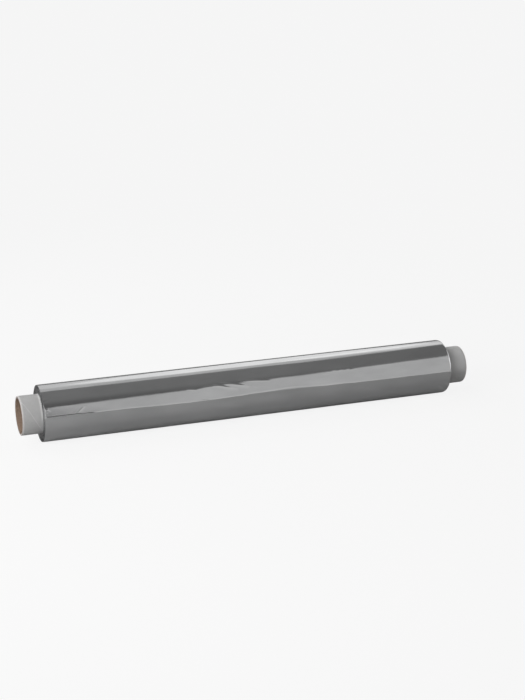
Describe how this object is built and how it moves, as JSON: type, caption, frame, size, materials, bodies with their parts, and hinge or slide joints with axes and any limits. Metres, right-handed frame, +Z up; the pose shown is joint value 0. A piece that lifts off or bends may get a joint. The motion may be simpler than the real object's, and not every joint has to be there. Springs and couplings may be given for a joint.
{
  "type": "aluminium foil roll",
  "caption": "Wound sheet of aluminium foil on a round paper core that stands out at both ends, lying on its side on a small flat spot.",
  "frame": {"origin": "on the table, under the middle of the core", "axes": "+X along the roll, from the end with the shorter core stub to the other; +Z up; the sheet's free edge faces -Y"},
  "size_m": [0.494, 0.0588, 0.0585],
  "materials": {
    "foil": "bright rolled foil, shiny side out, slightly creased",
    "core_paper": "pale matt outer strip over brown wound paper"
  },
  "bodies": {
    "root": {"foil_roll": "foil", "core_tube": "core_paper"}
  },
  "joints": []
}
